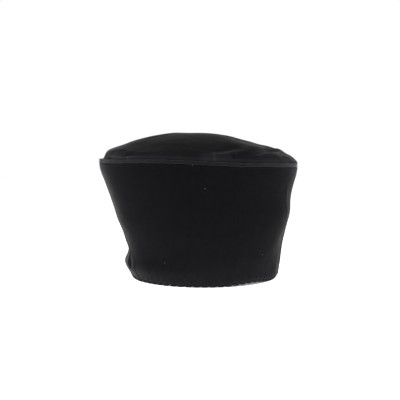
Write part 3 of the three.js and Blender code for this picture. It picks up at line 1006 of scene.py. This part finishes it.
elastic = elastic_material()
thread = flecked_material(
    "black_thread",
    scale=3200,
    detail=2,
    dark=(0.008, 0.0077, 0.0085),
    pale=(0.03, 0.029, 0.031),
    relief=(0.5, 0.1 * MM),
    Roughness=0.7,
    Specular_IOR_Level=0.12,
)
print("hem finishes:", elastic.name, thread.name)

# %% Wind the elastic and its zigzag thread
# across is in shares of the strip's wall, up in shares of its height, and notch says how far a notch
# reaches.
HemStation = namedtuple("HemStation", "across up notch")
HEM_SECTION = [
    HemStation(0.25, 0.0, 1.0),
    HemStation(0.0, 0.0, 1.0),
    HemStation(-0.28, 0.0, 1.0),
    HemStation(-0.42, 0.05, 0.95),
    HemStation(-0.5, 0.16, 0.8),
    HemStation(-0.53, 0.32, 0.6),
    HemStation(-0.48, 0.55, 0.35),
    HemStation(-0.38, 0.75, 0.15),
    HemStation(-0.3, 0.92, 0.0),
    HemStation(-0.2, 1.0, 0.0),
    HemStation(0.2, 1.0, 0.0),
    HemStation(0.42, 0.9, 0.0),
    HemStation(0.5, 0.55, 0.1),
    HemStation(0.45, 0.12, 0.7),
]
NOTCH_STARTS = 0.24
THREAD_RADIUS = 0.2 * MM
THREAD_SEGMENTS = 12 * SCALLOPS
THREAD_SIDES = 5
THREAD_MIDDLE = 0.36
THREAD_SWING = 0.33
THREAD_OUT = -0.53
THREAD_LEAN = 0.1


def hem_spot(bearing, across, up, notch):
    """A point of the elastic, across in shares of its wall and up in shares of its height."""
    from_middle = abs(bearing / PITCH - round(bearing / PITCH))
    depth = notch * ease(from_middle, NOTCH_STARTS, 0.5)
    inset = BAND_WALL / 2 + across * HEM_WALL + HEM_TURN_IN * (1 - up) + SCALLOP_PUFF * depth
    spot = band_spot(bearing, 0, inset)
    spot.z = hem_lift(bearing) + up * HEM_HEIGHT + SCALLOP_RISE * depth
    return spot


def thread_spot(bearing):
    """The zigzag is low in each notch, where it wraps over the edge, and high in mid-scallop."""
    wave = math.cos(math.tau * bearing / PITCH)
    up = THREAD_MIDDLE + THREAD_SWING * wave
    return hem_spot(bearing, THREAD_OUT + THREAD_LEAN * up, up, 1 - up)


def thread_place(bearing, turn):
    """A point of the thread's round skin, by its turn about the thread's middle line."""
    step = PITCH / 16
    along = (thread_spot(bearing + step) - thread_spot(bearing - step)).normalized()
    out = outward(bearing)
    side = along.cross(out).normalized()
    return thread_spot(bearing) + THREAD_RADIUS * (out * math.cos(turn) + side * math.sin(turn))


bm = wind(RING_SEGMENTS, HEM_SECTION, lambda bearing, row: hem_spot(bearing, *row))
finished(bm, "hem_elastic", [elastic], "hem_binding")
thread_turns = [math.tau * side / THREAD_SIDES for side in range(THREAD_SIDES)]
bm = wind(THREAD_SEGMENTS, thread_turns, thread_place)
finished(bm, "hem_thread", [thread])

# %% [markdown]
# ## Lint
# Black velvet picks up lint, and the photograph shows a few pale specks. Each is two short bits of fibre
# that cross on the cloth. They are kept as small as they look, about a millimetre.

# %% Scatter the lint
# level is a share of the band's or the hem's height, or a step of the crown's sections; turn is in degrees,
# and length in millimetres.
LintSpeck = namedtuple("LintSpeck", "cloth bearing level turn length")
LINT = [
    LintSpeck("band", 2.8, 0.81, 20, 1.3),
    LintSpeck("band", -24.2, 0.165, 70, 0.6),
    LintSpeck("band", 38.2, 0.212, 100, 0.8),
    LintSpeck("band", -59.3, 0.795, 40, 0.9),
    LintSpeck("hem", -22.4, 0.35, 10, 2.2),
    LintSpeck("band", -2.6, 0.995, 95, 0.9),
    LintSpeck("crown", -38.0, 2.0, 60, 1.4),
    LintSpeck("crown", 21.0, 3.8, 30, 0.9),
]
FIBRE_RADIUS = 0.11 * MM
FIBRE_LIFT = 1.2 * FIBRE_RADIUS
SECOND_TURN = 75
SECOND_LENGTH = 0.6
ON_HEM = -0.56
STEP_ALONG = 0.5
STEP_UP = 0.01
pale_lint = flecked_material(
    "pale_lint",
    scale=4000,
    detail=1,
    dark=(0.16, 0.16, 0.17),
    pale=(0.4, 0.4, 0.42),
    Roughness=0.9,
    Specular_IOR_Level=0.2,
)


def lint_spot(speck, bearing, level):
    """A point of the cloth on which a speck lies."""
    if speck.cloth == "band":
        return band_place(bearing, WallStation(level, 0.0, True))
    if speck.cloth == "hem":
        return hem_spot(bearing, ON_HEM, level, 0.0)
    return crown_place(bearing, CrownStation(None, level))


bm = bmesh.new()
for speck in LINT:
    spot = lint_spot(speck, speck.bearing, speck.level)
    along = (lint_spot(speck, speck.bearing + STEP_ALONG, speck.level) - spot).normalized()
    up = (lint_spot(speck, speck.bearing, speck.level + STEP_UP) - spot).normalized()
    off = along.cross(up).normalized()
    side = 1 if off.dot(outward(speck.bearing)) > 0 else -1
    fibres = ((speck.turn, speck.length), (speck.turn + SECOND_TURN, speck.length * SECOND_LENGTH))
    for turn, length in fibres:
        heading = along * math.cos(math.radians(turn)) + up * math.sin(math.radians(turn))
        lying = heading.to_track_quat("Z", "Y").to_matrix().to_4x4()
        raised = spot + off * FIBRE_LIFT * side
        bmesh.ops.create_cone(
            bm,
            cap_ends=True,
            segments=6,
            radius1=FIBRE_RADIUS,
            radius2=0.6 * FIBRE_RADIUS,
            depth=length * MM,
            matrix=Matrix.Translation(raised) @ lying,
        )
finished(bm, "lint_fibres", [pale_lint])
